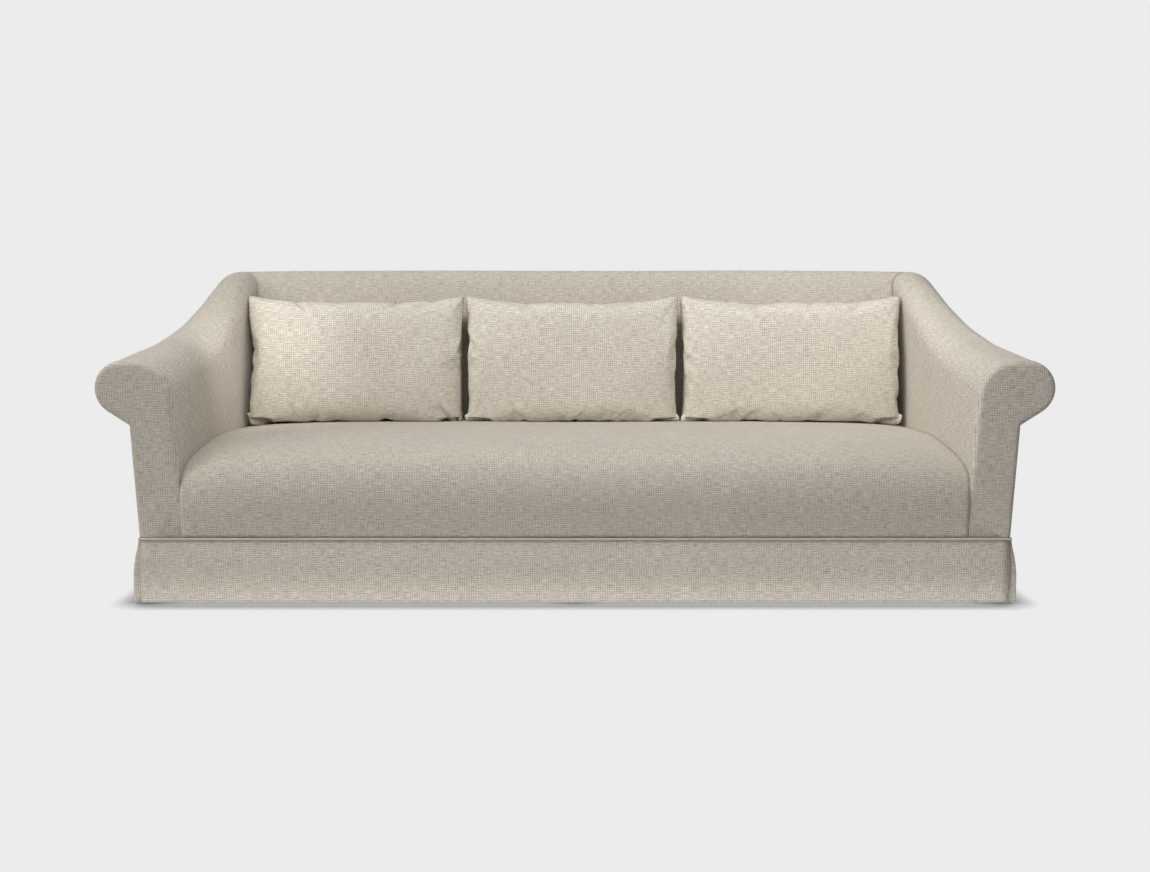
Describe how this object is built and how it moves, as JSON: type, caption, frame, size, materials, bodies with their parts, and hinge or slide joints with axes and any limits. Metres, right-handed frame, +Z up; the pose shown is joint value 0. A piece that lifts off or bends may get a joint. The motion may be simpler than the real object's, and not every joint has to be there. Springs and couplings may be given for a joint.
{
  "type": "slope-arm sofa",
  "caption": "Long upholstered sofa with sloping rolled arms, one tight bench seat, a straight tight back, loose back pillows and a tailored skirt.",
  "frame": {"origin": "on the floor, below the middle of the box round the whole sofa", "axes": "+X to the right of someone facing the front, +Y towards the back, +Z up"},
  "size_m": [2.439, 1, 0.857],
  "materials": {
    "linen": "matte",
    "pillow_linen": "matte",
    "foam": "matte",
    "pillow_filling": "matte",
    "webbing": "matte",
    "spring_wire": "satin",
    "dust_cloth": "matte",
    "foot_wood": "satin",
    "frame_wood": "matte"
  },
  "bodies": {
    "sofa": {"back_centre_upright": "frame_wood", "back_foam": "foam", "back_rail": "frame_wood", "back_top_rail": "frame_wood", "back_webbing_left": "webbing", "back_webbing_right": "webbing", "base_welt": "linen", "centre_seat_rail": "frame_wood", "dust_cover": "dust_cloth", "front_centre_foot": "foot_wood", "front_left_corner_block": "frame_wood", "front_left_foot": "foot_wood", "front_rail": "frame_wood", "front_right_corner_block": "frame_wood", "front_right_foot": "foot_wood", "inside_back_cover": "linen", "left_arm_foam": "foam", "left_arm_front_cover": "linen", "left_arm_top_rail": "frame_wood", "left_front_post": "frame_wood", "left_inside_arm_cover": "linen", "left_outside_arm_cover": "linen", "left_rear_post": "frame_wood", "left_side_rail": "frame_wood", "outside_back_cover": "linen", "rear_centre_foot": "foot_wood", "rear_left_corner_block": "frame_wood", "rear_left_foot": "foot_wood", "rear_right_corner_block": "frame_wood", "rear_right_foot": "foot_wood", "right_arm_foam": "foam", "right_arm_front_cover": "linen", "right_arm_top_rail": "frame_wood", "right_front_post": "frame_wood", "right_inside_arm_cover": "linen", "right_outside_arm_cover": "linen", "right_rear_post": "frame_wood", "right_side_rail": "frame_wood", "seat_cover": "linen", "seat_foam": "foam", "seat_spring_1": "spring_wire", "seat_spring_2": "spring_wire", "seat_spring_3": "spring_wire", "seat_spring_4": "spring_wire", "seat_spring_5": "spring_wire", "seat_spring_6": "spring_wire"},
    "left_pillow": {"left_pillow_cover": "pillow_linen", "left_pillow_insert": "pillow_filling"},
    "centre_pillow": {"centre_pillow_cover": "pillow_linen", "centre_pillow_insert": "pillow_filling"},
    "right_pillow": {"right_pillow_cover": "pillow_linen", "right_pillow_insert": "pillow_filling"},
    "front_skirt": {"front_skirt": "linen"},
    "back_skirt": {"back_skirt": "linen"},
    "left_skirt": {"left_skirt": "linen"},
    "right_skirt": {"right_skirt": "linen"}
  },
  "joints": [
    {"name": "left_pillow_lift", "type": "slide", "parent": "sofa", "child": "left_pillow", "axis": [0, 0, 1], "range_m": [0, 0.45]},
    {"name": "centre_pillow_lift", "type": "slide", "parent": "sofa", "child": "centre_pillow", "axis": [0, 0, 1], "range_m": [0, 0.45]},
    {"name": "right_pillow_lift", "type": "slide", "parent": "sofa", "child": "right_pillow", "axis": [0, 0, 1], "range_m": [0, 0.45]},
    {"name": "front_skirt_hinge", "type": "hinge", "parent": "sofa", "child": "front_skirt", "pos_m": [0, -0.479, 0.16345], "axis": [-1, 0, 0], "range_deg": [0, 75]},
    {"name": "back_skirt_hinge", "type": "hinge", "parent": "sofa", "child": "back_skirt", "pos_m": [0, 0.479, 0.16345], "axis": [1, 0, 0], "range_deg": [0, 75]},
    {"name": "left_skirt_hinge", "type": "hinge", "parent": "sofa", "child": "left_skirt", "pos_m": [-1.12, 0, 0.16345], "axis": [0, 1, 0], "range_deg": [0, 75]},
    {"name": "right_skirt_hinge", "type": "hinge", "parent": "sofa", "child": "right_skirt", "pos_m": [1.12, 0, 0.16345], "axis": [0, -1, 0], "range_deg": [0, 75]}
  ]
}
